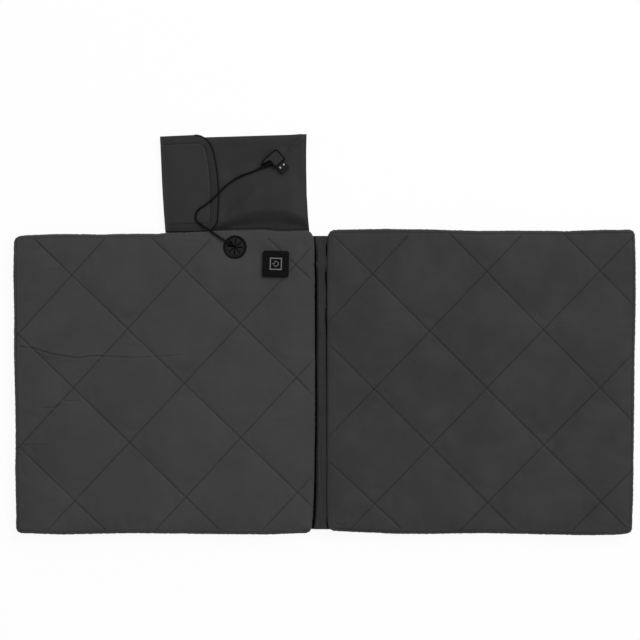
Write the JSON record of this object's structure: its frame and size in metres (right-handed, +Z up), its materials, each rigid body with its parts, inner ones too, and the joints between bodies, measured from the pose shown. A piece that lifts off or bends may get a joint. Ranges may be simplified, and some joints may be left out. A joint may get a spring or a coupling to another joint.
{
  "type": "heated seat cushion",
  "caption": "Folding heated seat cushion: two quilted padded panels joined by a cloth strip, with a power bank pouch, push-button controller and short USB power cord.",
  "frame": {"origin": "centre of the seat panel's underside", "axes": "+X from the seat panel to the back panel, +Y towards the pouch, +Z up out of the quilted face"},
  "size_m": [0.801, 0.5156, 0.0259],
  "materials": {
    "quilted_cloth": "charcoal woven polyester, quilted in diamonds",
    "band_cloth": "charcoal woven polyester",
    "base_cloth": "black woven polyester",
    "foam": "open-cell foam",
    "felt": "needled felt",
    "carbon_tape": "woven carbon fibre tape",
    "wadding": "polyester wadding",
    "cut_out_case": "moulded",
    "lead_sheath": "matt PVC",
    "controller_shell": "finely textured ABS",
    "screw_steel": "zinc plated",
    "board": "solder-resist green",
    "chip": "moulded",
    "led": "clear",
    "light_guide": "translucent",
    "button": "satin",
    "switch": "moulded",
    "dome": "spring steel",
    "grommet_rubber": "matt",
    "ring_plastic": "moulded",
    "cord_sheath": "satin PVC",
    "plug_moulding": "satin PVC overmould",
    "plug_shell": "dark nickel",
    "plug_tongue": "moulded",
    "contact": "gold plated",
    "pouch_cloth": "smooth coated polyester",
    "flap_cloth": "smooth coated polyester",
    "hook_and_loop": "hook and loop"
  },
  "bodies": {
    "seat": {"seat_base_cloth": "base_cloth", "seat_foam": "foam", "seat_heating_felt": "felt", "seat_heating_element": "carbon_tape", "seat_batting": "wadding", "seat_top_cloth": "quilted_cloth", "seat_side_band": "band_cloth", "seat_thermostat": "cut_out_case", "seat_leads": "lead_sheath", "seat_link_lead": "lead_sheath", "inner_lead": "lead_sheath", "controller_housing": "controller_shell", "controller_base": "controller_shell", "controller_screws": "screw_steel", "controller_board": "board", "controller_chips": "chip", "controller_leds": "led", "light_frame": "light_guide", "switch_body": "switch", "switch_dome": "dome", "cable_grommet": "grommet_rubber", "grommet_ring": "ring_plastic", "power_cord": "cord_sheath"},
    "fold_strip": {"fold_strip_cloth": "band_cloth", "fold_strip_lead": "lead_sheath"},
    "back": {"back_base_cloth": "base_cloth", "back_foam": "foam", "back_heating_felt": "felt", "back_heating_element": "carbon_tape", "back_batting": "wadding", "back_top_cloth": "quilted_cloth", "back_side_band": "band_cloth", "back_thermostat": "cut_out_case", "back_leads": "lead_sheath", "back_link_lead": "lead_sheath"},
    "pouch": {"pouch_front": "pouch_cloth", "pouch_back": "pouch_cloth", "pouch_end_gusset": "pouch_cloth", "pouch_far_gusset": "pouch_cloth", "pouch_welt": "pouch_cloth", "pouch_loop_tape": "hook_and_loop", "plug_strain_relief": "cord_sheath", "plug_body": "plug_moulding", "usb_shell": "plug_shell", "usb_insulator": "plug_tongue", "usb_contacts": "contact"},
    "flap_wrap": {"flap_wrap_cloth": "flap_cloth"},
    "flap": {"flap_cloth": "flap_cloth", "flap_hook_tape": "hook_and_loop"},
    "button": {"button_cap": "button", "button_symbol": "light_guide", "switch_plunger": "button"}
  },
  "joints": [
    {"name": "fold_seat_side", "type": "hinge", "parent": "seat", "child": "fold_strip", "pos_m": [0.19453, 0, 0.0155], "axis": [0, -1, 0], "range_deg": [-40, 87.5]},
    {"name": "fold_back_side", "type": "hinge", "parent": "fold_strip", "child": "back", "pos_m": [0.21047, 0, 0.0155], "axis": [0, -1, 0], "range_deg": [-40, 87.5]},
    {"name": "pouch_fold", "type": "hinge", "parent": "seat", "child": "pouch", "pos_m": [0.093, 0.19561, 0.0035], "axis": [1, 0, 0], "range_deg": [-90, 30], "deforming": ["power_cord"]},
    {"name": "flap_lower_fold", "type": "hinge", "parent": "pouch", "child": "flap_wrap", "pos_m": [-0.00069, 0.19756, 0.0006], "axis": [0.0444, -0.999, 0], "range_deg": [0, 90]},
    {"name": "flap_upper_fold", "type": "hinge", "parent": "flap_wrap", "child": "flap", "pos_m": [-0.00069, 0.19756, 0.0089], "axis": [0.0444, -0.999, 0], "range_deg": [0, 90]},
    {"name": "button_press", "type": "slide", "parent": "seat", "child": "button", "axis": [0, 0, -1], "range_m": [0, 0.0005], "stiffness_N_per_m": 1500, "deforming": ["switch_dome"]}
  ],
  "couplings": [
    {"joint": "fold_back_side", "follows": "fold_seat_side", "ratio": 1},
    {"joint": "flap_upper_fold", "follows": "flap_lower_fold", "ratio": 1}
  ]
}
